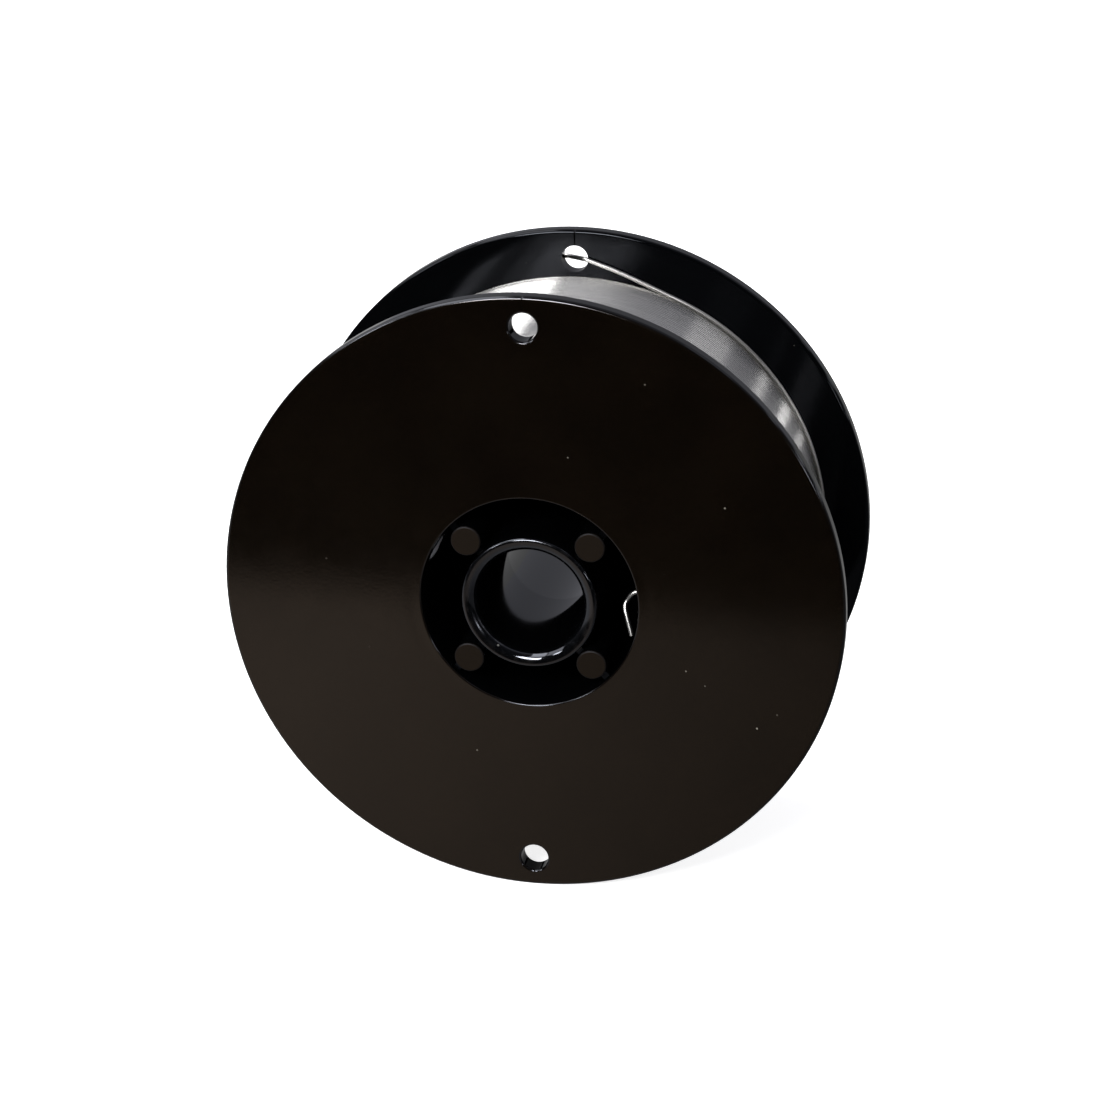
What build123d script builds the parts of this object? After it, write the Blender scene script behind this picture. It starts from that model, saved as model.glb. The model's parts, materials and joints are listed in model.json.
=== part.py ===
from build123d import *
from math import acos, atan2, cos, hypot, radians, sin
import os

# A small moulded plastic spool, wound nearly full with bare round wire.
# It stands on the rims of its two flanges. Millimetres, +Z up. The spindle axis is Y:
# the front flange faces -Y, the rear flange faces +Y, and the origin is the middle of the bore.
# The spool is two mouldings that meet at the middle plane, Y = 0, and are pinned together there.

# Driving dimensions of the two mouldings
FLANGE_D = 100.0
SPOOL_WIDTH = 45.0        # over the outer faces of both flanges
FLANGE_T = 3.0
RIM_ROUND = 0.6           # both corners of each flange's rim
BORE_D = 16.5
MOUTH_ROUND = 1.2         # at each end of the bore
TUBE_WALL = 2.7           # of the tube around the bore
TUBE_END_ROUND = 0.5      # the tube's outer corner, level with the flange face
POCKET_WIDTH = 6.55       # from the tube to the drum; each pocket is open at the flange face
POCKET_EDGE_ROUND = 0.3
DRUM_WALL = 2.5
FLOOR_T = 1.5             # closes each pocket at the middle plane

# Posts and webs in each pocket
POST_COUNT = 4
POST_ANGLE = 45.0         # of the first post
POST_TUBE_GAP = 0.65      # between a post and the tube
POST_DRUM_GAP = 1.0       # between a post and the drum
POST_END_ROUND = 0.3
WEB_T = 1.2               # webs from the tube through each post to the drum
WEB_DROP = 1.0            # how far the webs' tops lie below the flange face
WEB_BITE = 0.5            # how far a web runs into the tube and the drum

# Pins on the rear half's posts, sockets in the front half's posts
PIN_R = 1.2
PIN_LENGTH = 6.0
PIN_CLEARANCE = 0.05
SOCKET_SPARE_DEPTH = 0.5

# Holes in the flanges for the wire's end, at twelve and six o'clock
RIM_HOLE_COUNT = 2
RIM_HOLE_INSET = 4.9      # of the holes' centres from the rim
RIM_HOLE_D = 4.5
RIM_HOLE_ROUND = 0.45     # on the flange's outer face

# The wire
WIRE_D = 0.8
WIRE_GAP = 0.05           # between the wire and what it lies against
WINDING_INSET = 7.8       # of the last full layer from the rim
TOP_TURNS = 1             # turns of an unfinished layer, against the rear flange

# The wire's outer end, which lifts off the top turns and goes through the rear flange
TAIL_HUG = 6.0            # degrees that it still follows the top turns
TAIL_BEND_INSET = 0.35    # of its two bends from the hole's edge, one each side
TAIL_BEND_R = 1.0
TAIL_IN_RISE = 0.1        # of the first bend above the hole's centre
TAIL_OUT_DROP = 0.4       # of the second bend below it
TAIL_END_LENGTH = 9.5     # bent over behind the flange
TAIL_END_DROP = 1.2

# The wire's inner end, which comes through the drum into the front pocket
START_HOLE_D = 1.6
START_DEPTH = 5.0         # below the front flange's face
START_HEIGHT = 1.1        # of the hole above the spindle's axis
START_REACH = 1.6         # from the drum's inner wall to the first bend
START_BEND_STEP = 1.5     # between the two bends, across and down
START_BEND_DROP = 2.3
START_BEND_R = 1.2
START_END_DROP = 5.2
START_END_LEAN = 1.1      # the end springs back towards the drum

# Worked out from the sizes above
flange_r = FLANGE_D / 2
half_width = SPOOL_WIDTH / 2
bore_r = BORE_D / 2
tube_r = bore_r + TUBE_WALL
pocket_r = tube_r + POCKET_WIDTH
drum_r = pocket_r + DRUM_WALL
post_r = (POCKET_WIDTH - POST_TUBE_GAP - POST_DRUM_GAP) / 2
post_circle_r = tube_r + POST_TUBE_GAP + post_r
rim_hole_r = RIM_HOLE_D / 2
rim_hole_circle_r = flange_r - RIM_HOLE_INSET
pocket_depth = half_width - FLOOR_T
wire_r = WIRE_D / 2
groove_half = half_width - FLANGE_T
winding_r = flange_r - WINDING_INSET
top_turn_r = winding_r + WIRE_D * sin(radians(60))    # it lies in the groove of the layer below

os.makedirs("parts", exist_ok=True)


# Sections of the round pieces are drawn here, as (radius, Y), on the side away from the wire's inner end
section_plane = Plane(origin=(0, 0, 0), x_dir=(-1, 0, 0), z_dir=(0, 0, -1))


def face_plane(side):
    """The outer face of one flange, with its normal pointing out of the spool."""
    return Plane(origin=(0, side * half_width, 0), x_dir=(1, 0, 0), z_dir=(0, side, 0))


def half_outline(side):
    """Corners of one moulding's section, as (radius, Y)."""
    face = side * half_width
    inner_face = side * groove_half
    floor = side * FLOOR_T
    return [
        (bore_r, face),
        (tube_r, face),
        (tube_r, floor),
        (pocket_r, floor),
        (pocket_r, face),
        (flange_r, face),
        (flange_r, inner_face),
        (drum_r, inner_face),
        (drum_r, 0),
        (bore_r, 0),
    ]


# The two mouldings: flange, half the drum and half the bore tube, joined by a floor
for side, name in ((-1, "front_half"), (1, "rear_half")):
    outermost = -1 if side > 0 else 0
    with BuildPart() as half:
        with BuildSketch(section_plane) as section:
            with BuildLine():
                Polyline(half_outline(side), close=True)
            make_face()
            face_corners = section.vertices().group_by(Axis.Y)[outermost].sort_by(Axis.X)
            fillet(face_corners[0], MOUTH_ROUND)
            fillet(section.vertices().group_by(Axis.X)[-1], RIM_ROUND)
        revolve(axis=Axis.Y)

        # The tube's and the pocket's edges on the flange face
        rings = half.edges().filter_by(GeomType.CIRCLE).group_by(Axis.Y)[outermost]
        fillet(rings.filter_by(lambda ring: abs(ring.radius - tube_r) < 0.01), TUBE_END_ROUND)
        rings = half.edges().filter_by(GeomType.CIRCLE).group_by(Axis.Y)[outermost]
        fillet(rings.filter_by(lambda ring: abs(ring.radius - pocket_r) < 0.01), POCKET_EDGE_ROUND)

        # Posts, level with the flange face
        with BuildSketch(face_plane(side)):
            with PolarLocations(post_circle_r, POST_COUNT, start_angle=POST_ANGLE):
                Circle(post_r)
        extrude(amount=-pocket_depth)
        rings = half.edges().filter_by(GeomType.CIRCLE).group_by(Axis.Y)[outermost]
        fillet(rings.filter_by(lambda ring: abs(ring.radius - post_r) < 0.01), POST_END_ROUND)

        # Webs through the posts
        web_length = pocket_r - tube_r + 2 * WEB_BITE
        with BuildSketch(face_plane(side).offset(-WEB_DROP)):
            with PolarLocations((pocket_r + tube_r) / 2, POST_COUNT, start_angle=POST_ANGLE):
                Rectangle(web_length, WEB_T)
        extrude(amount=-(pocket_depth - WEB_DROP))

        # Wire holes near the rim, with a rounded outer edge
        with BuildSketch(face_plane(side)):
            with PolarLocations(rim_hole_circle_r, RIM_HOLE_COUNT, start_angle=90):
                Circle(rim_hole_r)
        extrude(amount=-FLANGE_T, mode=Mode.SUBTRACT)
        rings = half.edges().filter_by(GeomType.CIRCLE).group_by(Axis.Y)[outermost]
        fillet(rings.filter_by(lambda ring: abs(ring.radius - rim_hole_r) < 0.01), RIM_HOLE_ROUND)

        # Pins or sockets where the posts meet
        with BuildSketch(Plane.XZ):
            with PolarLocations(post_circle_r, POST_COUNT, start_angle=POST_ANGLE):
                Circle(PIN_R if side > 0 else PIN_R + PIN_CLEARANCE)
        if side > 0:
            extrude(amount=PIN_LENGTH)
        else:
            extrude(amount=PIN_LENGTH + SOCKET_SPARE_DEPTH, mode=Mode.SUBTRACT)

            # The wire's inner end comes through this hole in the drum
            with BuildSketch(Plane.YZ.offset(pocket_r - WEB_BITE)):
                with Locations((START_DEPTH - half_width, START_HEIGHT)):
                    Circle(START_HOLE_D / 2)
            extrude(amount=DRUM_WALL + 2 * WEB_BITE, mode=Mode.SUBTRACT)
    half.part.label = name
    export_step(half.part, f"parts/{name}.step")

# The wound wire, as its outer shape
winding_half = groove_half - WIRE_GAP
top_turns_start = winding_half - TOP_TURNS * WIRE_D
with BuildPart() as wire_winding:
    with BuildSketch(section_plane):
        with BuildLine():
            Polyline(
                [
                    (drum_r + WIRE_GAP, -winding_half),
                    (winding_r, -winding_half),
                    (winding_r, top_turns_start),
                    (top_turn_r, top_turns_start),
                    (top_turn_r, winding_half),
                    (drum_r + WIRE_GAP, winding_half),
                ],
                close=True,
            )
        make_face()
    revolve(axis=Axis.Y)
wire_winding.part.label = "wire_winding"
export_step(wire_winding.part, "parts/wire_winding.step")


def clock_point(radius, y, angle):
    """A point on a circle about the spindle; the angle runs clockwise from the top, seen from the front."""
    return (radius * sin(angle), y, radius * cos(angle))


# The outer end lies on the top turns, runs straight to the hole and is bent over behind it
tail_r = top_turn_r + wire_r + WIRE_GAP
tail_y = groove_half - wire_r - WIRE_GAP
behind_y = half_width + wire_r + WIRE_GAP
bend_offset = rim_hole_r - TAIL_BEND_INSET
bend_z = rim_hole_circle_r + TAIL_IN_RISE
bend_angle = atan2(bend_offset, bend_z)
lift_angle = bend_angle + acos(tail_r / hypot(bend_offset, bend_z))
hug_half = radians(TAIL_HUG) / 2
out_z = rim_hole_circle_r - TAIL_OUT_DROP
tail_points = [
    clock_point(tail_r, tail_y, lift_angle + 2 * hug_half),
    clock_point(tail_r / cos(hug_half), tail_y, lift_angle + hug_half),
    (bend_offset, tail_y, bend_z),
    (-bend_offset, behind_y, out_z),
    (-bend_offset - TAIL_END_LENGTH, behind_y, out_z - TAIL_END_DROP),
]
tail_radii = [0.98 * tail_r, TAIL_BEND_R, TAIL_BEND_R]
with BuildPart() as wire_tail:
    with BuildLine() as tail_route:
        FilletPolyline(*tail_points, radius=tail_radii)
    with BuildSketch(Plane(origin=tail_route.line @ 0, z_dir=tail_route.line % 0)):
        Circle(wire_r)
    sweep()
wire_tail.part.label = "wire_tail"
export_step(wire_tail.part, "parts/wire_tail.step")
print("wire_tail length", round(tail_route.wire().length, 2), "bend radii", [round(r, 2) for r in tail_radii])

# The inner end comes through the drum and is bent down inside the pocket
start_y = START_DEPTH - half_width
bend_x = pocket_r - START_REACH
hook_x = bend_x - START_BEND_STEP
hook_z = START_HEIGHT - START_BEND_DROP
start_points = [
    (drum_r - WIRE_GAP, start_y, START_HEIGHT),
    (bend_x, start_y, START_HEIGHT),
    (hook_x, start_y, hook_z),
    (hook_x + START_END_LEAN, start_y, hook_z - START_END_DROP),
]
with BuildPart() as wire_start:
    with BuildLine() as start_route:
        FilletPolyline(*start_points, radius=START_BEND_R)
    with BuildSketch(Plane(origin=start_route.line @ 0, z_dir=start_route.line % 0)):
        Circle(wire_r)
    sweep()
wire_start.part.label = "wire_start"
export_step(wire_start.part, "parts/wire_start.step")
print("wire_start length", round(start_route.wire().length, 2), "bend radius", START_BEND_R)
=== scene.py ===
"""A small black plastic wire spool, wound nearly full with bare drawn wire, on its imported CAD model."""

import json
from math import acos, atan2, cos, hypot, pi, radians, sin
from random import Random

import bmesh
import bpy
from bpy.props import BoolProperty, FloatProperty, FloatVectorProperty, IntProperty, PointerProperty
from bpy.types import Operator, Panel, PropertyGroup
from mathutils import Matrix, Vector


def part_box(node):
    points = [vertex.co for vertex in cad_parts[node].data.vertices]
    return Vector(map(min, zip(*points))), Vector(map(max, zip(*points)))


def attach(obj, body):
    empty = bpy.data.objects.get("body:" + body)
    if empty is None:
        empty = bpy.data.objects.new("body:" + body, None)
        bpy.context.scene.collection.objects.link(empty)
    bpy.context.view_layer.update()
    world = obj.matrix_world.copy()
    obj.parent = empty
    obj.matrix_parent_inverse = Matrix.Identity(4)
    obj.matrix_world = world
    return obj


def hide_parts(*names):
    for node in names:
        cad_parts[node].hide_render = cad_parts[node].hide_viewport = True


bl_info = {
    "name": "Wire Spool",
    "version": (1, 0, 0),
    "blender": (4, 5, 0),
    "location": "3D View > Sidebar > Wire Spool",
    "description": "Builds a moulded plastic spool and the wire wound on it",
    "category": "Object",
}

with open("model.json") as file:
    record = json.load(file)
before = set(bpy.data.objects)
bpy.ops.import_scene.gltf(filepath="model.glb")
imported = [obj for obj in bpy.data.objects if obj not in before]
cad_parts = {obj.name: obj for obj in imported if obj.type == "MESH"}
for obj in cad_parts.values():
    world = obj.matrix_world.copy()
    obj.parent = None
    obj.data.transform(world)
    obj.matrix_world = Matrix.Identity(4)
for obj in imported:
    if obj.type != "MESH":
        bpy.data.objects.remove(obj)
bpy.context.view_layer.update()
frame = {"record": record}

MM = 0.001
MOUNTS = {mount["name"]: mount for mount in frame["record"]["mounts"]}
BORE_RADIUS = MOUNTS["spindle_bore"]["dims"]["r_mm"] * MM
RIM_HOLE_RADIUS = MOUNTS["front_rim_holes"]["dims"]["hole_r_mm"] * MM
RIM_HOLE_CIRCLE = MOUNTS["front_rim_holes"]["dims"]["pcd_mm"] * MM / 2
FLANGE_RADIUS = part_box("front_half")[1].x
HALF_WIDTH = -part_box("front_half")[0].y
PIN_LENGTH = -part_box("rear_half")[0].y
WINDING_LOW, WINDING_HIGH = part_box("wire_winding")
TAIL_LOW, TAIL_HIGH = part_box("wire_tail")
START_LOW, START_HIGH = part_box("wire_start")
SPINDLE = Vector((0, 1, 0))

# Pins and sockets of the joint between the halves, and the overlap that joins or cuts one solid cleanly
PIN_RADIUS = 1.2 * MM
SOCKET_RADIUS = 1.25 * MM
BITE = 0.5 * MM
POST_ANGLES = [pi / 4 + quarter * pi / 2 for quarter in range(4)]

# The wire steps over at STEP_ANGLE, and its last turn lies on top of the layer for TOP_TURN_ANGLE
STEP_ANGLE = radians(215)
TOP_TURN_ANGLE = radians(225)
NEST = sin(radians(60))
WINDING_GAP = 0.05 * MM

# A pale spot painted on the wall of the front pocket: painted light where light would fall on that wall
PAINTED_LIGHT_SPOT = (-16.4 * MM, -14.7 * MM, 6.0 * MM)


# Sizes and colours that a user would change


class SpoolSizes(PropertyGroup):
    """Sizes of the two plastic mouldings."""

    flange_thickness: FloatProperty(
        name="Flange thickness", description="Thickness of each flange",
        default=3.0 * MM, unit="LENGTH",
    )
    rim_round: FloatProperty(
        name="Rim rounding", description="Radius on both corners of a flange's rim",
        default=0.6 * MM, unit="LENGTH",
    )
    tube_wall: FloatProperty(
        name="Tube wall", description="Wall of the tube around the bore",
        default=2.7 * MM, unit="LENGTH",
    )
    tube_round: FloatProperty(
        name="Tube end rounding", description="Radius on the tube's outer corner",
        default=0.5 * MM, unit="LENGTH",
    )
    pocket_width: FloatProperty(
        name="Pocket width", description="Gap between the tube and the drum",
        default=6.55 * MM, unit="LENGTH",
    )
    pocket_round: FloatProperty(
        name="Pocket edge rounding", description="Radius on the pocket's edge",
        default=0.3 * MM, unit="LENGTH",
    )
    drum_wall: FloatProperty(
        name="Drum wall", description="Wall of the drum that carries the wire",
        default=2.5 * MM, unit="LENGTH",
    )
    floor_thickness: FloatProperty(
        name="Floor thickness", description="Pocket floor at the joint of the halves",
        default=1.5 * MM, unit="LENGTH",
    )
    mouth_round: FloatProperty(
        name="Mouth rounding", description="Radius around the bore's mouth",
        default=1.7 * MM, unit="LENGTH",
    )
    bore_draft: FloatProperty(
        name="Bore draft", description="How much wider the bore is at its mouth than at the joint",
        default=0.4 * MM, unit="LENGTH",
    )
    post_tube_gap: FloatProperty(
        name="Post to tube", description="Gap between a post and the tube",
        default=0.65 * MM, unit="LENGTH",
    )
    post_drum_gap: FloatProperty(
        name="Post to drum", description="Gap between a post and the drum",
        default=1.0 * MM, unit="LENGTH",
    )
    post_round: FloatProperty(
        name="Post end rounding", description="Radius on a post's end",
        default=0.3 * MM, unit="LENGTH",
    )
    web_thickness: FloatProperty(
        name="Web thickness", description="Thickness of the webs through the posts",
        default=1.2 * MM, unit="LENGTH",
    )
    web_drop: FloatProperty(
        name="Web drop", description="Depth of the webs' tops below the flange face",
        default=1.0 * MM, unit="LENGTH",
    )
    rim_hole_round: FloatProperty(
        name="Rim hole rounding", description="Radius on a rim hole's outer edge",
        default=0.45 * MM, unit="LENGTH",
    )
    start_hole: FloatProperty(
        name="Drum hole", description="Diameter of the hole for the wire's inner end",
        default=1.6 * MM, unit="LENGTH",
    )


class WireSizes(PropertyGroup):
    """Sizes of the wire and how evenly it is wound."""

    diameter: FloatProperty(
        name="Wire diameter", description="Diameter of the wire",
        default=0.8 * MM, unit="LENGTH",
    )
    spread: FloatProperty(
        name="Spacing scatter", description="How unevenly the turns are spaced",
        default=0.012 * MM, unit="LENGTH",
    )
    lift: FloatProperty(
        name="Height scatter", description="How unevenly high the turns lie",
        default=0.03 * MM, unit="LENGTH",
    )
    step_share: FloatProperty(
        name="Step share", description="Share of a turn in which it steps over to the next",
        default=0.09, subtype="FACTOR",
    )
    turn_faces: IntProperty(
        name="Faces along a turn", description="Faces along one turn of the wire",
        default=100,
    )


class SpoolLooks(PropertyGroup):
    """Colours and finishes."""

    plastic: FloatVectorProperty(
        name="Plastic", description="Colour of the moulded plastic",
        subtype="COLOR", default=(0.0014, 0.0009, 0.0005),
    )
    plastic_inside: FloatVectorProperty(
        name="Plastic inside", description="Colour of the polished inner faces",
        subtype="COLOR", default=(0.0008, 0.0009, 0.0011),
    )
    dust: FloatVectorProperty(
        name="Dust", description="Colour of the dust specks",
        subtype="COLOR", default=(0.16, 0.155, 0.13),
    )
    knit_line: FloatVectorProperty(
        name="Knit line", description="Colour of the lines where the plastic met in the mould",
        subtype="COLOR", default=(0.0004, 0.0004, 0.0004),
    )
    cool_shine: FloatVectorProperty(
        name="Cool shine", description="Tint of reflections on the polished inner faces",
        subtype="COLOR", default=(0.84, 0.88, 1.0),
    )
    warm_shine: FloatVectorProperty(
        name="Warm shine", description="Tint of reflections on the flanges' outer faces",
        subtype="COLOR", default=(1.0, 0.78, 0.62),
    )
    # Painted light: colour of the pale spot painted on the front pocket's wall where light would fall
    painted_light_spot: FloatVectorProperty(
        name="Pale mark", description="Colour of the stress mark in the front pocket",
        subtype="COLOR", default=(0.62, 0.62, 0.66),
    )
    wire: FloatVectorProperty(
        name="Wire", description="Colour of the drawn wire",
        subtype="COLOR", default=(0.60, 0.59, 0.575),
    )
    backdrop: FloatVectorProperty(
        name="Backdrop", description="Colour of the floor and backdrop",
        subtype="COLOR", default=(0.86, 0.86, 0.86),
    )


class StageSizes(PropertyGroup):
    """Where the camera stands, and whether the spool stands on a floor."""

    azimuth: FloatProperty(
        name="Azimuth", description="Camera's turn about the vertical",
        default=radians(11.89), subtype="ANGLE",
    )
    elevation: FloatProperty(
        name="Elevation", description="Camera's height above the horizon",
        default=radians(20.98), subtype="ANGLE",
    )
    roll: FloatProperty(name="Roll", description="Camera's lean", default=radians(1.13), subtype="ANGLE")
    distance: FloatProperty(
        name="Distance", description="Camera's distance from the front face",
        default=398.3 * MM, unit="LENGTH",
    )
    view_angle: FloatProperty(
        name="View angle", description="Camera's field of view",
        default=radians(24.3587), subtype="ANGLE",
    )
    aim: FloatVectorProperty(
        name="Aim", description="Point on the front face at the picture's centre",
        unit="LENGTH", default=(3.64 * MM, 0.0, 9.28 * MM),
    )
    with_floor: BoolProperty(name="Floor", description="Stands the spool on a pale floor", default=True)


# Sizes that follow from others


def tube_radius(sizes):
    """Outside of the tube around the bore."""
    return BORE_RADIUS + sizes.tube_wall


def pocket_radius(sizes):
    """Outer wall of the pockets."""
    return tube_radius(sizes) + sizes.pocket_width


def drum_radius(sizes):
    """Outside of the drum that carries the wire."""
    return pocket_radius(sizes) + sizes.drum_wall


def post_radius(sizes):
    """A post fills the pocket's width apart from its two gaps."""
    return (sizes.pocket_width - sizes.post_tube_gap - sizes.post_drum_gap) / 2


def post_circle(sizes):
    """Circle on which the posts stand."""
    return tube_radius(sizes) + sizes.post_tube_gap + post_radius(sizes)


# Shared steps for meshes


def new_object(name, bm):
    """Turns a bmesh into an object at the origin."""
    mesh = bpy.data.meshes.new(name)
    bm.to_mesh(mesh)
    bm.free()
    thing = bpy.data.objects.new(name, mesh)
    bpy.context.scene.collection.objects.link(thing)
    return thing


def freeze(thing):
    """Applies the object's modifiers to its mesh."""
    graph = bpy.context.evaluated_depsgraph_get()
    finished = bpy.data.meshes.new_from_object(thing.evaluated_get(graph), depsgraph=graph)
    finished.name = thing.name
    thing.modifiers.clear()
    thing.data = finished


def combine(base, tool, operation):
    """Adds the tool to the base or cuts it out, and removes the tool."""
    step = base.modifiers.new("combine", "BOOLEAN")
    step.operation = operation
    step.object = tool
    step.solver = "EXACT"
    step.use_self = operation == "UNION"
    freeze(base)
    bpy.data.objects.remove(tool)


def finish_piece(piece, material, slot, *nodes):
    """Gives a piece its material and its body, and hides the CAD nodes that it stands for."""
    piece.data.materials.clear()
    piece.data.materials.append(material)
    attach(piece, "root")
    if nodes:
        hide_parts(*nodes)


def smooth_by_angle(thing, limit):
    """Shades the piece smooth apart from edges that are sharper than the limit."""
    bm = bmesh.new()
    bm.from_mesh(thing.data)
    bmesh.ops.remove_doubles(bm, verts=bm.verts, dist=0.0002 * MM)
    bmesh.ops.dissolve_degenerate(bm, edges=bm.edges, dist=0.0002 * MM)
    for face in bm.faces:
        face.smooth = True
    for edge in bm.edges:
        edge.smooth = len(edge.link_faces) == 2 and edge.calc_face_angle(pi) < limit
    bm.to_mesh(thing.data)
    bm.free()
    step = thing.modifiers.new("even normals", "WEIGHTED_NORMAL")
    step.mode = "FACE_AREA"
    step.keep_sharp = True
    freeze(thing)


def spun_section(corners, roundings, steps):
    """A closed ring: a section of (radius, y) corners, each rounded, and spun about the spindle."""
    bm = bmesh.new()
    section = [bm.verts.new((radius, y, 0)) for radius, y in corners]
    bm.faces.new(section)
    for corner, size in zip(section, roundings):
        if size:
            bmesh.ops.bevel(
                bm, geom=[corner], offset=size, offset_type="OFFSET", segments=6, profile=0.5,
                affect="VERTICES", clamp_overlap=False, material=-1,
            )
    bmesh.ops.delete(bm, geom=bm.faces[:], context="FACES_ONLY")
    bmesh.ops.spin(
        bm, geom=bm.verts[:] + bm.edges[:], cent=(0, 0, 0), axis=SPINDLE, angle=2 * pi, steps=steps,
        use_merge=True,
    )
    bmesh.ops.recalc_face_normals(bm, faces=bm.faces)
    return bm


def add_round_bar(bm, x, z, radius, y_start, y_end, end_round=0.0, steps=48):
    """A closed round bar along the spindle direction, its far end rounded."""
    middle = Vector((x, (y_start + y_end) / 2, z))
    turn = Matrix.Rotation(-pi / 2 if y_end > y_start else pi / 2, 4, "X")
    made = bmesh.ops.create_cone(
        bm, cap_ends=True, segments=steps, radius1=radius, radius2=radius, depth=abs(y_end - y_start),
        matrix=Matrix.Translation(middle) @ turn,
    )
    if end_round:
        rim = [
            edge
            for edge in {edge for vert in made["verts"] for edge in vert.link_edges}
            if all(abs(vert.co.y - y_end) < 0.01 * MM for vert in edge.verts)
        ]
        bmesh.ops.bevel(bm, geom=rim, offset=end_round, segments=4, profile=0.5, affect="EDGES", material=-1)


def clock_point(radius, y, angle):
    """A point on a circle about the spindle, its angle clockwise from the top as seen from the front."""
    return Vector((radius * sin(angle), y, radius * cos(angle)))


# Shader node groups


def new_group(name, inputs, outputs):
    """A shader node group with its named inputs (kind, default) and outputs (kind)."""
    group = bpy.data.node_groups.new(name, "ShaderNodeTree")
    for label, (kind, value) in inputs.items():
        socket = group.interface.new_socket(label, in_out="INPUT", socket_type=kind)
        socket.default_value = value
    for label, kind in outputs.items():
        group.interface.new_socket(label, in_out="OUTPUT", socket_type=kind)
    entry = group.nodes.new("NodeGroupInput")
    leave = group.nodes.new("NodeGroupOutput")
    return group, entry, leave


def add_math(tree, operation, first, second=None, third=None, clamp=False):
    """A Math node; each value is a number or an output to link."""
    node = tree.nodes.new("ShaderNodeMath")
    node.operation = operation
    node.use_clamp = clamp
    for slot, value in enumerate((first, second, third)):
        if isinstance(value, (int, float)):
            node.inputs[slot].default_value = value
        elif value is not None:
            tree.links.new(value, node.inputs[slot])
    return node.outputs[0]


def add_noise(tree, vector, scale, detail=3.0, rough=0.5):
    """A noise value over a vector output."""
    node = tree.nodes.new("ShaderNodeTexNoise")
    node.inputs["Scale"].default_value = scale
    node.inputs["Detail"].default_value = detail
    node.inputs["Roughness"].default_value = rough
    tree.links.new(vector, node.inputs["Vector"])
    return node.outputs["Fac"]


def add_range(tree, value, low, high, to_low=0.0, to_high=1.0, smooth=True):
    """Maps a value from one range to another, clamped."""
    node = tree.nodes.new("ShaderNodeMapRange")
    node.interpolation_type = "SMOOTHSTEP" if smooth else "LINEAR"
    node.clamp = True
    tree.links.new(value, node.inputs["Value"])
    for label, number in (("From Min", low), ("From Max", high), ("To Min", to_low), ("To Max", to_high)):
        node.inputs[label].default_value = number
    return node.outputs["Result"]


def add_mix(tree, factor, first, second):
    """Mixes two colours; each is a colour or an output to link."""
    node = tree.nodes.new("ShaderNodeMix")
    node.data_type = "RGBA"
    for slot, value in ((0, factor), (6, first), (7, second)):
        if isinstance(value, (int, float)):
            node.inputs[slot].default_value = value
        elif isinstance(value, bpy.types.NodeSocket):
            tree.links.new(value, node.inputs[slot])
        else:
            node.inputs[slot].default_value = (*value, 1.0)
    return node.outputs[2]


def spindle_coordinates(tree):
    """Object coordinates, distance from the spindle, turn about it, X, and the place along it."""
    place = tree.nodes.new("ShaderNodeTexCoord").outputs["Object"]
    split = tree.nodes.new("ShaderNodeSeparateXYZ")
    tree.links.new(place, split.inputs[0])
    x, y, z = split.outputs
    square = add_math(tree, "ADD", add_math(tree, "MULTIPLY", x, x), add_math(tree, "MULTIPLY", z, z))
    radius = add_math(tree, "SQRT", square)
    turn = add_math(tree, "ARCTAN2", x, z)
    return place, radius, turn, x, y


def dust_group():
    """Scattered specks and short fibres: a mask that is 1 on a speck."""
    group, entry, leave = new_group(
        "dust specks",
        {
            "Scale": ("NodeSocketFloat", 900.0),
            "Cover": ("NodeSocketFloat", 0.5),
            "Size": ("NodeSocketFloat", 0.12),
        },
        {"Mask": "NodeSocketFloat"},
    )
    place = group.nodes.new("ShaderNodeTexCoord").outputs["Object"]
    cells = group.nodes.new("ShaderNodeTexVoronoi")
    cells.feature = "F1"
    group.links.new(place, cells.inputs["Vector"])
    group.links.new(entry.outputs["Scale"], cells.inputs["Scale"])
    cells.inputs["Randomness"].default_value = 1.0
    tint = group.nodes.new("ShaderNodeSeparateColor")
    group.links.new(cells.outputs["Color"], tint.inputs[0])
    chosen = add_math(group, "LESS_THAN", tint.outputs[0], entry.outputs["Cover"])
    reach = add_math(group, "MULTIPLY", entry.outputs["Size"], tint.outputs[1])
    edge = add_math(group, "SUBTRACT", reach, cells.outputs["Distance"])
    speck = add_math(group, "MULTIPLY", edge, 30.0, clamp=True)
    group.links.new(add_math(group, "MULTIPLY", speck, chosen), leave.inputs["Mask"])
    return group


def moulding_marks_group():
    """Marks of moulding: knit lines beyond the rim holes, and the sink ring over the drum's wall."""
    group, entry, leave = new_group(
        "moulding marks",
        {"Knit width": ("NodeSocketFloat", 0.14 * MM), "Ring radius": ("NodeSocketFloat", 19.0 * MM)},
        {"Knit": "NodeSocketFloat", "Ring": "NodeSocketFloat"},
    )
    place, radius, _, x, _ = spindle_coordinates(group)
    stray = 0.25 * MM
    wander = add_math(group, "MULTIPLY", add_noise(group, place, 400.0, 2.0), stray)
    wander = add_math(group, "SUBTRACT", wander, stray / 2)
    across = add_math(group, "ABSOLUTE", add_math(group, "ADD", x, wander))
    share = add_math(group, "DIVIDE", across, entry.outputs["Knit width"])
    line = add_math(group, "SUBTRACT", 1.0, share, clamp=True)
    beyond = add_range(group, radius, RIM_HOLE_CIRCLE, RIM_HOLE_CIRCLE + 1.5 * RIM_HOLE_RADIUS)
    group.links.new(add_math(group, "MULTIPLY", line, beyond), leave.inputs["Knit"])
    off = add_math(group, "ABSOLUTE", add_math(group, "SUBTRACT", radius, entry.outputs["Ring radius"]))
    group.links.new(add_range(group, off, 0.0, 1.6 * MM, 1.0, 0.0), leave.inputs["Ring"])
    return group


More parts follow.
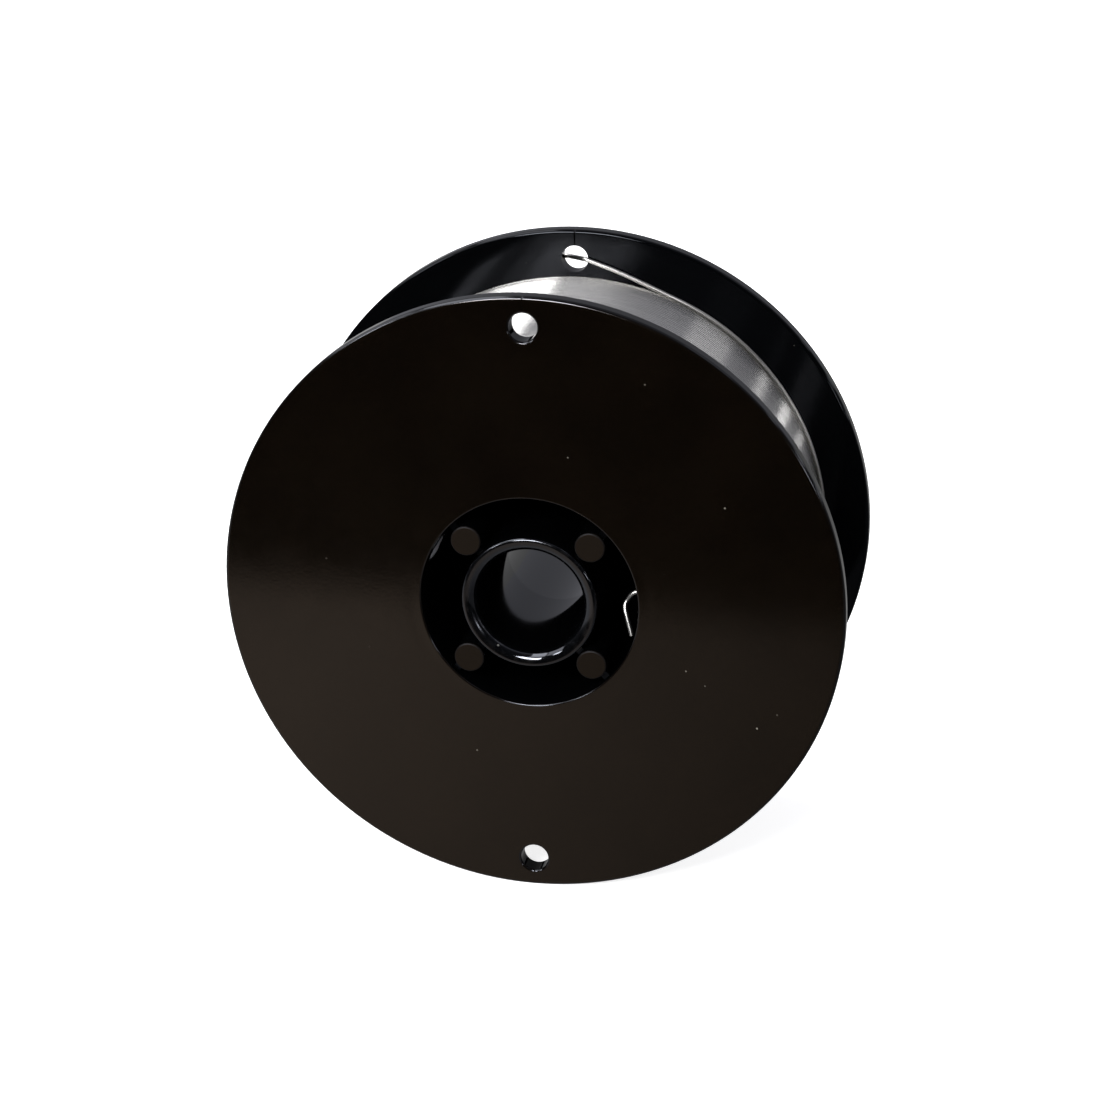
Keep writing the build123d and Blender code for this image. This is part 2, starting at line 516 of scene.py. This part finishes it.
def drawn_lines_group():
    """Fine lines that the drawing die leaves along the wire."""
    group, entry, leave = new_group(
        "drawn lines",
        {"Fineness": ("NodeSocketFloat", 9000.0)},
        {"Lines": "NodeSocketFloat", "Patches": "NodeSocketFloat"},
    )
    _, radius, turn, _, y = spindle_coordinates(group)
    along = group.nodes.new("ShaderNodeCombineXYZ")
    group.links.new(add_math(group, "MULTIPLY", turn, 0.0006), along.inputs[0])
    group.links.new(y, along.inputs[1])
    group.links.new(radius, along.inputs[2])
    fine = group.nodes.new("ShaderNodeTexNoise")
    fine.inputs["Detail"].default_value = 2.0
    group.links.new(along.outputs[0], fine.inputs["Vector"])
    group.links.new(entry.outputs["Fineness"], fine.inputs["Scale"])
    group.links.new(fine.outputs["Fac"], leave.inputs["Lines"])
    wide = group.nodes.new("ShaderNodeCombineXYZ")
    group.links.new(add_math(group, "MULTIPLY", turn, 0.004), wide.inputs[0])
    group.links.new(y, wide.inputs[1])
    group.links.new(radius, wide.inputs[2])
    group.links.new(add_noise(group, wide.outputs[0], 700.0, 3.0), leave.inputs["Patches"])
    return group


def shared_group(name, make):
    """The node group of that name, made when it is first needed."""
    return bpy.data.node_groups.get(name) or make()


def place_group(tree, name, make, **values):
    """A group node in a material, with its own values."""
    node = tree.nodes.new("ShaderNodeGroup")
    node.node_tree = shared_group(name, make)
    for label, value in values.items():
        node.inputs[label.replace("_", " ")].default_value = value
    return node


# Materials


def new_material(name):
    """A material with its Principled BSDF."""
    material = bpy.data.materials.new(name)
    material.use_nodes = True
    return material, material.node_tree, material.node_tree.nodes["Principled BSDF"]


def plastic_zones(tree, sizes):
    """Masks for the parts of a moulding that the mould or its use left different."""
    place, radius, _, _, y = spindle_coordinates(tree)
    depth = add_math(tree, "ABSOLUTE", y)
    near_face = add_range(tree, depth, HALF_WIDTH - 0.5 * MM, HALF_WIDTH - 0.05 * MM)
    near_mouth = add_range(tree, depth, HALF_WIDTH - 2.2 * MM, HALF_WIDTH - 1.2 * MM)
    off_posts = add_math(tree, "ABSOLUTE", add_math(tree, "SUBTRACT", radius, post_circle(sizes)))
    on_posts = add_math(tree, "LESS_THAN", off_posts, post_radius(sizes) + 0.45 * MM)
    on_flange = add_math(tree, "GREATER_THAN", radius, pocket_radius(sizes))
    tube = add_math(tree, "LESS_THAN", radius, tube_radius(sizes) + 0.15 * MM)
    return {
        "place": place,
        "near face": near_face,
        "flange": add_math(tree, "MULTIPLY", near_face, on_flange),
        "posts": add_math(tree, "MULTIPLY", near_face, on_posts),
        "tube": tube,
        "lip": add_math(tree, "MULTIPLY", near_mouth, tube),
        "cloud": add_noise(tree, place, 55.0, 5.0, 0.6),
        "grime": add_noise(tree, place, 260.0, 4.0, 0.65),
    }


def painted_light_spot(tree, zones):
    """Mask of a pale spot of painted light on the front pocket's wall, with a ragged edge, longer along the
    spindle.
    """
    mark = tree.nodes.new("ShaderNodeMapping")
    mark.vector_type = "TEXTURE"
    mark.inputs["Location"].default_value = PAINTED_LIGHT_SPOT
    mark.inputs["Scale"].default_value = (1.0, 3.2, 1.0)
    tree.links.new(zones["place"], mark.inputs["Vector"])
    reach = tree.nodes.new("ShaderNodeVectorMath")
    reach.operation = "LENGTH"
    tree.links.new(mark.outputs[0], reach.inputs[0])
    ragged_reach = add_math(tree, "ADD", reach.outputs["Value"], add_math(tree, "MULTIPLY", zones["grime"], 2.4 * MM))
    light_spot_shape = add_range(tree, ragged_reach, 2.3 * MM, 2.9 * MM, 1.0, 0.0)
    return add_math(tree, "MULTIPLY", light_spot_shape, add_math(tree, "SUBTRACT", 1.0, zones["near face"]))


def plastic_colour(tree, zones, looks, dust, marks):
    """Near black, a little warmer where it is handled, with dust, knit lines and a pale spot of painted light
    in the front pocket.
    """
    warmer = [1.5 * value for value in looks.plastic]
    face = add_mix(tree, add_range(tree, zones["cloud"], 0.35, 0.68), looks.plastic, warmer)
    handled = add_mix(tree, zones["flange"], looks.plastic_inside, face)
    rubbed = add_mix(tree, zones["posts"], handled, [2.2 * value for value in looks.plastic])
    specks = add_math(tree, "MULTIPLY", dust, add_range(tree, zones["grime"], 0.38, 0.62))
    dusty = add_mix(tree, specks, rubbed, looks.dust)
    # Painted light: the pale spot on the front pocket's wall is mixed into the colour here
    with_painted_light = add_mix(tree, add_math(tree, "MULTIPLY", painted_light_spot(tree, zones), 0.8), dusty, looks.painted_light_spot)
    return add_mix(tree, marks.outputs["Knit"], with_painted_light, looks.knit_line)


def plastic_shine(tree, zones, shader, looks):
    """Strength and tint of the reflections, which are left out of reflections of the plastic in itself."""
    warm = add_math(tree, "MAXIMUM", zones["flange"], zones["posts"])
    warm = add_math(tree, "MAXIMUM", warm, add_math(tree, "MULTIPLY", zones["lip"], 0.6))
    outside = add_math(tree, "MAXIMUM", warm, zones["tube"])
    level = add_range(tree, outside, 0.0, 1.0, 0.13, 0.5, smooth=False)
    level = add_math(tree, "ADD", level, add_math(tree, "MULTIPLY", zones["lip"], 0.25))
    level = add_math(tree, "SUBTRACT", level, add_math(tree, "MULTIPLY", zones["posts"], 0.30))
    bounces = tree.nodes.new("ShaderNodeLightPath").outputs["Glossy Depth"]
    level = add_math(tree, "MULTIPLY", level, add_math(tree, "LESS_THAN", bounces, 0.5))
    tree.links.new(level, shader.inputs["Specular IOR Level"])
    normal = tree.nodes.new("ShaderNodeSeparateXYZ")
    tree.links.new(tree.nodes.new("ShaderNodeNewGeometry").outputs["Normal"], normal.inputs[0])
    flat = add_range(tree, add_math(tree, "ABSOLUTE", normal.outputs[1]), 0.90, 0.99)
    tint = add_mix(tree, add_math(tree, "MULTIPLY", warm, flat), looks.cool_shine, looks.warm_shine)
    tree.links.new(tint, shader.inputs["Specular Tint"])


def plastic_roughness(tree, zones, dust):
    """Satin faces, polished inner faces, rubbed posts and a mottled lip."""
    satin = add_range(tree, zones["grime"], 0.3, 0.7, 0.10, 0.14)
    polished = add_range(tree, zones["cloud"], 0.3, 0.7, 0.05, 0.09)
    faces = add_math(tree, "MULTIPLY", add_math(tree, "SUBTRACT", satin, polished), zones["flange"])
    rough = add_math(tree, "ADD", polished, faces)
    rough = add_math(tree, "ADD", rough, add_math(tree, "MULTIPLY", zones["posts"], 0.42))
    mottled = add_range(tree, add_noise(tree, zones["place"], 520.0, 2.0), 0.42, 0.58, 0.0, 0.12)
    rough = add_math(tree, "ADD", rough, add_math(tree, "MULTIPLY", zones["lip"], mottled))
    return add_math(tree, "ADD", rough, add_math(tree, "MULTIPLY", dust, 0.4), clamp=True)


def plastic_relief(tree, zones, marks):
    """Bump: grain on the faces, the sink ring, knit lines and slow waves."""
    grain = add_math(tree, "MULTIPLY", add_noise(tree, zones["place"], 2600.0, 2.0), zones["flange"])
    sink = add_math(tree, "MULTIPLY", marks.outputs["Ring"], -3.0)
    knit = add_math(tree, "MULTIPLY", marks.outputs["Knit"], -4.0)
    wave = add_math(tree, "MULTIPLY", add_noise(tree, zones["place"], 38.0, 1.0), 3.0)
    height = add_math(tree, "ADD", add_math(tree, "ADD", grain, sink), add_math(tree, "ADD", knit, wave))
    bump = tree.nodes.new("ShaderNodeBump")
    bump.inputs["Strength"].default_value = 0.3
    bump.inputs["Distance"].default_value = 0.02 * MM
    tree.links.new(height, bump.inputs["Height"])
    return bump.outputs[0]


def plastic_material(looks, sizes):
    """Black moulded plastic: satin on the flanges' outer faces, glossy where the mould was polished."""
    material, tree, shader = new_material("black moulded plastic")
    dust = place_group(tree, "dust specks", dust_group, Scale=330.0, Cover=0.30, Size=0.11).outputs["Mask"]
    marks = place_group(tree, "moulding marks", moulding_marks_group)
    zones = plastic_zones(tree, sizes)
    tree.links.new(plastic_colour(tree, zones, looks, dust, marks), shader.inputs["Base Color"])
    plastic_shine(tree, zones, shader, looks)
    tree.links.new(plastic_roughness(tree, zones, dust), shader.inputs["Roughness"])
    tree.links.new(plastic_relief(tree, zones, marks), shader.inputs["Normal"])
    return material


def wire_material(looks, packed=False):
    """Bare drawn metal with fine lines along it, made softer where turns lie packed side by side."""
    material, tree, shader = new_material("wound wire" if packed else "wire ends")
    lines = place_group(tree, "drawn lines", drawn_lines_group)
    dull = [0.93 * value for value in looks.wire]
    shade = add_range(tree, lines.outputs["Patches"], 0.3, 0.7)
    tree.links.new(add_mix(tree, shade, dull, looks.wire), shader.inputs["Base Color"])
    smoothest, roughest = (0.22, 0.27) if packed else (0.26, 0.34)
    rough = add_range(tree, lines.outputs["Lines"], 0.3, 0.7, smoothest, roughest)
    tree.links.new(rough, shader.inputs["Roughness"])
    shader.inputs["Metallic"].default_value = 1.0
    bump = tree.nodes.new("ShaderNodeBump")
    bump.inputs["Strength"].default_value = 0.08
    bump.inputs["Distance"].default_value = 0.004 * MM
    tree.links.new(lines.outputs["Lines"], bump.inputs["Height"])
    if packed:
        facing = tree.nodes.new("ShaderNodeNewGeometry").outputs["Normal"]
        softer = tree.nodes.new("ShaderNodeVectorMath")
        softer.operation = "MULTIPLY"
        tree.links.new(facing, softer.inputs[0])
        softer.inputs[1].default_value = (1.0, 0.75, 1.0)
        level = tree.nodes.new("ShaderNodeVectorMath")
        level.operation = "NORMALIZE"
        tree.links.new(softer.outputs[0], level.inputs[0])
        tree.links.new(level.outputs[0], bump.inputs["Normal"])
        across = tree.nodes.new("ShaderNodeCombineXYZ")
        across.inputs[1].default_value = 1.0
        tree.links.new(across.outputs[0], shader.inputs["Tangent"])
        shader.inputs["Anisotropic"].default_value = 1.0
    tree.links.new(bump.outputs[0], shader.inputs["Normal"])
    return material


def ends_material(looks):
    """The wire's material for its two free ends, made when it is first needed."""
    return bpy.data.materials.get("wire ends") or wire_material(looks)


def core_material(looks):
    """The wire below the outer layer, seen only between its turns, darkened to a quarter of the wire's colour
    as painted shade.
    """
    material, tree, shader = new_material("shaded inner turns")
    place = tree.nodes.new("ShaderNodeTexCoord").outputs["Object"]
    shade = add_range(tree, add_noise(tree, place, 900.0, 2.0), 0.3, 0.7)
    # Painted shade: the inner turns take a quarter of the wire's colour, for the shadow between the outer
    # turns
    painted_shade = [0.25 * value for value in looks.wire]
    tree.links.new(add_mix(tree, shade, painted_shade, [1.3 * value for value in painted_shade]), shader.inputs["Base Color"])
    shader.inputs["Metallic"].default_value = 1.0
    shader.inputs["Roughness"].default_value = 0.45
    return material


# The two mouldings


def moulding(name, side, sizes, wire_radius):
    """One half of the spool: flange, half the drum and half the tube, with posts and webs in its pocket."""
    face = side * HALF_WIDTH
    inner_face = side * (HALF_WIDTH - sizes.flange_thickness)
    floor = side * sizes.floor_thickness
    tube = tube_radius(sizes)
    pocket = pocket_radius(sizes)
    drum = drum_radius(sizes)
    corners = [
        (BORE_RADIUS + sizes.bore_draft, face),
        (tube, face),
        (tube, floor),
        (pocket, floor),
        (pocket, face),
        (FLANGE_RADIUS, face),
        (FLANGE_RADIUS, inner_face),
        (drum, inner_face),
        (drum, 0.0),
        (BORE_RADIUS, 0.0),
    ]
    roundings = [
        sizes.mouth_round, sizes.tube_round, 0.0, 0.0, sizes.pocket_round,
        sizes.rim_round, sizes.rim_round, 0.0, 0.0, 0.0,
    ]
    half = new_object(name, spun_section(corners, roundings, 192))

    circle = post_circle(sizes)
    added = bmesh.new()
    for angle in POST_ANGLES:
        x, z = circle * cos(angle), circle * sin(angle)
        add_round_bar(added, x, z, post_radius(sizes), floor - side * BITE, face, sizes.post_round)
        add_web(added, side, angle, sizes)
        if side > 0:
            add_round_bar(added, x, z, PIN_RADIUS, floor, -PIN_LENGTH)
    combine(half, new_object("posts and webs", added), "UNION")

    cuts = bmesh.new()
    for top in (1, -1):
        add_rim_hole(cuts, top * RIM_HOLE_CIRCLE, face, inner_face, side, sizes)
    if side < 0:
        depth = (START_LOW.y + START_HIGH.y) / 2
        place = Vector((pocket + sizes.drum_wall / 2, depth, START_HIGH.z - wire_radius))
        across = Matrix.Translation(place) @ Matrix.Rotation(pi / 2, 4, "Y")
        bmesh.ops.create_cone(
            cuts, cap_ends=True, segments=32, radius1=sizes.start_hole / 2, radius2=sizes.start_hole / 2,
            depth=sizes.drum_wall + 2 * BITE, matrix=across,
        )
        for angle in POST_ANGLES:
            x, z = circle * cos(angle), circle * sin(angle)
            add_round_bar(cuts, x, z, SOCKET_RADIUS, BITE, -PIN_LENGTH - BITE)
    combine(half, new_object("holes", cuts), "DIFFERENCE")
    smooth_by_angle(half, radians(28))
    return half


def add_web(bm, side, angle, sizes):
    """The web through one post, from the tube to the drum."""
    bottom = side * (sizes.floor_thickness - BITE)
    top = side * (HALF_WIDTH - sizes.web_drop)
    middle = tube_radius(sizes) + sizes.pocket_width / 2
    place = Matrix.Translation((middle * cos(angle), (top + bottom) / 2, middle * sin(angle)))
    size = Matrix.Diagonal((sizes.pocket_width + 2 * BITE, abs(top - bottom), sizes.web_thickness, 1.0))
    bmesh.ops.create_cube(bm, size=1.0, matrix=place @ Matrix.Rotation(-angle, 4, "Y") @ size)


def add_rim_hole(bm, height, face, inner_face, side, sizes):
    """The cutter for one rim hole: a round bar that flares to the rounded edge at the outer face."""
    flare = sizes.rim_hole_round
    steps = 6
    outline = [(RIM_HOLE_RADIUS, inner_face - side * MM)]
    for step in range(steps + 1):
        angle = step * pi / 2 / steps
        outline.append((RIM_HOLE_RADIUS + flare * (1 - cos(angle)), face - side * flare * (1 - sin(angle))))
    outline.append((RIM_HOLE_RADIUS + flare, face + side * MM))
    verts = [bm.verts.new((radius, y, height)) for radius, y in outline]
    edges = [bm.edges.new(pair) for pair in zip(verts, verts[1:])]
    bmesh.ops.spin(
        bm, geom=verts + edges, cent=(0, 0, height), axis=SPINDLE, angle=2 * pi, steps=64, use_merge=True
    )
    rims = [edge for edge in bm.edges if edge.is_boundary]
    bmesh.ops.holes_fill(bm, edges=rims, sides=0)
    bmesh.ops.recalc_face_normals(bm, faces=bm.faces)


class SPOOL_OT_mouldings(Operator):
    """Builds the front and the rear moulding"""

    bl_idname = "spool.mouldings"
    bl_label = "Mouldings"

    def execute(self, context):
        sizes = context.scene.spool_sizes
        wire_radius = context.scene.wire_sizes.diameter / 2
        plastic = plastic_material(context.scene.spool_looks, sizes)
        for node, name, side in (("front_half", "front_moulding", -1), ("rear_half", "rear_moulding", 1)):
            half = moulding(name, side, sizes, wire_radius)
            finish_piece(half, plastic, "spool_plastic", node)
        return {"FINISHED"}


# The wire


def wire_along(name, points, wire_radius, order=0):
    """A length of wire through its points, or smoothly along them where an order is given."""
    curve = bpy.data.curves.new(name, "CURVE")
    curve.dimensions = "3D"
    curve.bevel_depth = wire_radius
    curve.bevel_resolution = 4
    curve.use_fill_caps = True
    spline = curve.splines.new("NURBS" if order else "POLY")
    spline.points.add(len(points) - 1)
    for point, place in zip(spline.points, points):
        point.co = (*place, 1.0)
    if order:
        spline.order_u = order
        spline.use_endpoint_u = True
        curve.resolution_u = 12
    path = bpy.data.objects.new(name, curve)
    bpy.context.scene.collection.objects.link(path)
    graph = bpy.context.evaluated_depsgraph_get()
    wire = bpy.data.objects.new(name, bpy.data.meshes.new_from_object(path.evaluated_get(graph)))
    bpy.data.objects.remove(path)
    bpy.context.scene.collection.objects.link(wire)
    return wire


def layer_points(wire, centre_radius):
    """Points of the outer layer: flat turns side by side, each with a short step over to the next."""
    first, last = WINDING_LOW.y + wire.diameter / 2, WINDING_HIGH.y - wire.diameter / 2
    turns = int((last - first) / wire.diameter) + 1
    pitch = (last - first) / (turns - 1)
    scatter = Random(11)
    height, place = 0.0, first
    points = []
    for turn in range(turns):
        target, lift = first + turn * pitch, 0.0
        if 0 < turn < turns - 1:
            target += scatter.uniform(-1, 1) * wire.spread
            lift = scatter.uniform(-1, 0) * wire.lift
        for step in range(wire.turn_faces):
            share = min(1.0, step / (wire.turn_faces * wire.step_share))
            radius = centre_radius + height + (lift - height) * share
            angle = STEP_ANGLE + 2 * pi * step / wire.turn_faces
            points.append(clock_point(radius, place + (target - place) * share, angle))
        place, height = target, lift
    return points


class SPOOL_OT_winding(Operator):
    """Winds the outer layer of wire, turn by turn, over the inner layers"""

    bl_idname = "spool.winding"
    bl_label = "Winding"

    def execute(self, context):
        wire = context.scene.wire_sizes
        looks = context.scene.spool_looks
        wire_radius = wire.diameter / 2
        centre_radius = WINDING_HIGH.x - wire.diameter * NEST - wire_radius
        layer = wire_along("outer_turns", layer_points(wire, centre_radius), wire_radius)
        finish_piece(layer, wire_material(looks, packed=True), "steel_wire", "wire_winding")

        drum = drum_radius(context.scene.spool_sizes) + WINDING_GAP
        inside = [
            (drum, WINDING_LOW.y), (centre_radius, WINDING_LOW.y),
            (centre_radius, WINDING_HIGH.y), (drum, WINDING_HIGH.y),
        ]
        core = new_object("inner_layers", spun_section(inside, [0, 0, 0, 0], 128))
        smooth_by_angle(core, radians(30))
        finish_piece(core, core_material(looks), "steel_wire")
        return {"FINISHED"}


class SPOOL_OT_outer_end(Operator):
    """Lays the last turn on the layer and takes the wire's outer end through the rear flange"""

    bl_idname = "spool.outer_end"
    bl_label = "Outer end"

    def execute(self, context):
        wire = context.scene.wire_sizes
        sizes = context.scene.spool_sizes
        wire_radius = wire.diameter / 2
        rest = WINDING_HIGH.x - wire_radius
        below = rest - wire.diameter * NEST
        inner_face = HALF_WIDTH - sizes.flange_thickness
        beside = inner_face - wire_radius - WINDING_GAP
        behind = TAIL_HIGH.y - wire_radius
        hole_reach = RIM_HOLE_RADIUS - 0.35 * MM
        hole_top = RIM_HOLE_CIRCLE + 0.1 * MM
        lift = atan2(hole_reach, hole_top) + acos(rest / hypot(hole_reach, hole_top))
        points = []
        steps = 72
        for step in range(steps + 1):
            share = step / steps
            angle = lift + TOP_TURN_ANGLE * (1 - share) + 0.02
            climb = min(1.0, share * 6)
            radius = below + (rest - below) * climb
            points.append(clock_point(radius / cos(TOP_TURN_ANGLE / steps / 2), beside, angle))
        points += [
            Vector((hole_reach + 6.0 * MM, beside, hole_top - 2.1 * MM)),
            Vector((hole_reach + 1.2 * MM, beside, hole_top - 0.42 * MM)),
            Vector((hole_reach, beside, hole_top)),
            Vector((hole_reach - 0.7 * MM, beside + 0.72 * MM, hole_top - 0.09 * MM)),
            Vector((-hole_reach + 0.7 * MM, behind - 0.72 * MM, hole_top - 0.41 * MM)),
            Vector((-hole_reach, behind, hole_top - 0.5 * MM)),
            Vector((-hole_reach - 1.2 * MM, behind, hole_top - 0.62 * MM)),
            Vector((-hole_reach - 5.0 * MM, behind, hole_top - 1.1 * MM)),
            Vector((TAIL_LOW.x, behind, TAIL_LOW.z + 3.0 * MM)),
        ]
        tail = wire_along("outer_end", points, wire_radius, order=3)
        finish_piece(tail, ends_material(context.scene.spool_looks), "steel_wire", "wire_tail")
        return {"FINISHED"}


class SPOOL_OT_inner_end(Operator):
    """Brings the wire's inner end through the drum into the front pocket"""

    bl_idname = "spool.inner_end"
    bl_label = "Inner end"

    def execute(self, context):
        wire = context.scene.wire_sizes
        wire_radius = wire.diameter / 2
        depth = (START_LOW.y + START_HIGH.y) / 2
        height = START_HIGH.z - wire_radius
        hook = START_LOW.x + wire_radius
        points = [
            Vector((START_HIGH.x, depth, height)),
            Vector((hook + 3.2 * MM, depth, height)),
            Vector((hook + 1.5 * MM, depth, height - 0.1 * MM)),
            Vector((hook + 0.5 * MM, depth, height - 1.5 * MM)),
            Vector((hook + 0.05 * MM, depth - 0.4 * MM, height - 2.4 * MM)),
            Vector((hook + 0.6 * MM, depth - 1.2 * MM, height - 4.0 * MM)),
            Vector((hook + 1.5 * MM, depth - 2.0 * MM, START_LOW.z + 0.8 * MM)),
        ]
        start = wire_along("inner_end", points, wire_radius, order=3)
        finish_piece(start, ends_material(context.scene.spool_looks), "steel_wire", "wire_start")
        return {"FINISHED"}


# The stage

# Lamps: name, place in metres, width, length along the spindle, watts
LAMPS = (
    ("overhead softbox", (-0.345, -0.05, 0.722), 0.29, 1.10, 4.6),
    ("left panel", (-0.604, -0.05, 0.525), 0.30, 1.10, 2.2),
    ("front softbox", (-0.19, -0.85, 0.50), 0.34, 0.26, 9.5),
    ("front left lamp", (-0.62, -0.66, 0.42), 0.14, 0.14, 1.2),
    ("front right lamp", (0.65, -0.75, 0.09), 0.10, 0.10, 0.5),
    ("high right panel", (0.49, 0.10, 0.63), 0.20, 0.60, 0.20),
    ("upper right strip", (0.69, 0.10, 0.41), 0.05, 0.60, 0.12),
    ("middle right strip", (0.76, 0.10, 0.26), 0.05, 0.60, 0.26),
    ("lower right strip", (0.79, 0.10, 0.13), 0.03, 0.60, 0.14),
)


def floor_material(looks):
    """A pale floor that looks white and still takes the spool's shadow."""
    material, tree, shader = new_material("pale floor")
    shader.inputs["Roughness"].default_value = 0.9
    shader.inputs["Specular IOR Level"].default_value = 0.0
    path = tree.nodes.new("ShaderNodeLightPath")
    place = tree.nodes.new("ShaderNodeTexCoord").outputs["Object"]
    split = tree.nodes.new("ShaderNodeSeparateXYZ")
    tree.links.new(place, split.inputs[0])
    x, y, _ = split.outputs

    # Reflections show a lit bench with a slanting edge, dim in front of it and bright behind the spool
    skewed = add_math(tree, "SUBTRACT", y, add_math(tree, "MULTIPLY", x, 0.07))
    bench = add_range(tree, skewed, -0.155, -0.129)
    before = add_range(tree, y, -0.40, -0.160, 0.015, 0.05)
    fall = add_range(tree, x, -0.06, 0.06, 0.56, 0.13, smooth=False)
    mirrored = add_math(tree, "MULTIPLY", fall, add_math(tree, "MAXIMUM", bench, before))
    mirrored = add_math(tree, "MAXIMUM", mirrored, add_range(tree, y, 0.02, 0.08, 0.0, 0.33))
    glossy = add_math(tree, "MULTIPLY", path.outputs["Is Glossy Ray"], mirrored)
    dull = add_math(tree, "SUBTRACT", 1.0, path.outputs["Is Glossy Ray"])
    tree.links.new(add_mix(tree, dull, (0.0, 0.0, 0.0), looks.backdrop), shader.inputs["Base Color"])

    camera = add_math(tree, "MULTIPLY", path.outputs["Is Camera Ray"], 0.75)
    seen = add_math(tree, "ADD", camera, glossy)
    seen = add_math(tree, "ADD", seen, path.outputs["Is Transmission Ray"])
    tree.links.new(seen, shader.inputs["Emission Strength"])
    shader.inputs["Emission Color"].default_value = (1.0, 1.0, 1.0, 1.0)
    return material


def stage_world():
    """A white backdrop for the camera, and a room that is bright behind and above for reflections."""
    world = bpy.data.worlds.new("studio")
    bpy.context.scene.world = world
    world.use_nodes = True
    tree = world.node_tree
    background = tree.nodes["Background"]
    path = tree.nodes.new("ShaderNodeLightPath")
    way = tree.nodes.new("ShaderNodeTexCoord").outputs["Generated"]
    split = tree.nodes.new("ShaderNodeSeparateXYZ")
    tree.links.new(way, split.inputs[0])
    _, y, z = split.outputs
    behind = add_range(tree, y, -0.35, 0.35, 0.02, 0.33)
    above = add_range(tree, z, 0.2, 0.9, 0.0, 0.46)
    above = add_math(tree, "MULTIPLY", above, add_range(tree, y, -0.45, 0.0, 0.1, 1.0))
    mirrored = add_math(tree, "MAXIMUM", behind, above)
    glossy = add_math(tree, "MULTIPLY", path.outputs["Is Glossy Ray"], mirrored)
    seen = add_math(tree, "MAXIMUM", path.outputs["Is Camera Ray"], path.outputs["Is Transmission Ray"])
    diffuse = add_math(tree, "MULTIPLY", path.outputs["Is Diffuse Ray"], 0.35)
    strength = add_math(tree, "ADD", add_math(tree, "MAXIMUM", seen, glossy), diffuse)
    tree.links.new(strength, background.inputs["Strength"])
    colour = add_mix(tree, path.outputs["Is Camera Ray"], (0.96, 0.97, 1.06), (1.0, 1.0, 1.0))
    tree.links.new(colour, background.inputs["Color"])


def add_area_light(name, place, width, length, power):
    """A rectangular light that faces the spool, its length along the spindle, unseen by the camera."""
    light = bpy.data.lights.new(name, "AREA")
    light.shape = "RECTANGLE"
    light.size = width
    light.size_y = length
    light.energy = power
    lamp = bpy.data.objects.new(name, light)
    bpy.context.scene.collection.objects.link(lamp)
    facing = Vector(place).normalized()
    across = SPINDLE.cross(facing).normalized()
    along = facing.cross(across)
    lamp.matrix_world = Matrix.Translation(place) @ Matrix((across, along, facing)).transposed().to_4x4()
    lamp.visible_camera = False


def add_floor(looks):
    """A wide floor under the flanges."""
    bm = bmesh.new()
    bmesh.ops.create_grid(bm, x_segments=1, y_segments=1, size=3.0)
    bmesh.ops.translate(bm, verts=bm.verts, vec=(0, 0, -FLANGE_RADIUS))
    floor = new_object("floor", bm)
    floor.data.materials.append(floor_material(looks))


def add_camera(scene, settings):
    """A camera that looks at its aim on the front face, turned about its own line of sight by the roll."""
    camera = bpy.data.cameras.new("camera")
    camera.sensor_fit = "HORIZONTAL"
    camera.angle = settings.view_angle
    camera.clip_start = 0.01
    camera.clip_end = 20.0
    eye = bpy.data.objects.new("camera", camera)
    scene.collection.objects.link(eye)
    back = Vector((
        sin(settings.azimuth) * cos(settings.elevation),
        -cos(settings.azimuth) * cos(settings.elevation),
        sin(settings.elevation),
    ))
    level = Vector((cos(settings.azimuth), sin(settings.azimuth), 0))
    upright = back.cross(level)
    right = level * cos(settings.roll) - upright * sin(settings.roll)
    above = upright * cos(settings.roll) + level * sin(settings.roll)
    turn = Matrix((right, above, back)).transposed().to_4x4()
    aim = Vector(settings.aim) + Vector((0, -HALF_WIDTH, 0))
    eye.matrix_world = Matrix.Translation(aim + back * settings.distance) @ turn
    scene.camera = eye


class SPOOL_OT_stage(Operator):
    """Sets up the floor, the lights and the camera"""

    bl_idname = "spool.stage"
    bl_label = "Stage"

    def execute(self, context):
        scene = context.scene
        scene.view_settings.view_transform = "Standard"
        stage_world()
        if scene.stage_sizes.with_floor:
            add_floor(scene.spool_looks)
        for name, place, width, length, power in LAMPS:
            add_area_light(name, place, width, length, power)
        add_camera(scene, scene.stage_sizes)
        return {"FINISHED"}


class SPOOL_PT_sidebar(Panel):
    """Lists the spool's pieces and its sizes"""

    bl_label = "Wire Spool"
    bl_idname = "SPOOL_PT_sidebar"
    bl_space_type = "VIEW_3D"
    bl_region_type = "UI"
    bl_category = "Wire Spool"

    def draw(self, context):
        for operator in OPERATORS:
            self.layout.operator(operator.bl_idname)
        scene = context.scene
        for group in (scene.spool_sizes, scene.wire_sizes, scene.spool_looks, scene.stage_sizes):
            box = self.layout.box()
            for name in group.bl_rna.properties.keys():
                if name not in ("rna_type", "name"):
                    box.prop(group, name)


OPERATORS = (SPOOL_OT_mouldings, SPOOL_OT_winding, SPOOL_OT_outer_end, SPOOL_OT_inner_end, SPOOL_OT_stage)
CLASSES = (SpoolSizes, WireSizes, SpoolLooks, StageSizes, *OPERATORS, SPOOL_PT_sidebar)


def register():
    for item in CLASSES:
        bpy.utils.register_class(item)
    bpy.types.Scene.spool_sizes = PointerProperty(type=SpoolSizes)
    bpy.types.Scene.wire_sizes = PointerProperty(type=WireSizes)
    bpy.types.Scene.spool_looks = PointerProperty(type=SpoolLooks)
    bpy.types.Scene.stage_sizes = PointerProperty(type=StageSizes)


def unregister():
    del bpy.types.Scene.stage_sizes
    del bpy.types.Scene.spool_looks
    del bpy.types.Scene.wire_sizes
    del bpy.types.Scene.spool_sizes
    for item in reversed(CLASSES):
        bpy.utils.unregister_class(item)


def main():
    register()
    bpy.ops.spool.mouldings()
    bpy.ops.spool.winding()
    bpy.ops.spool.outer_end()
    bpy.ops.spool.inner_end()
    bpy.ops.spool.stage()


if __name__ == "__main__":
    main()
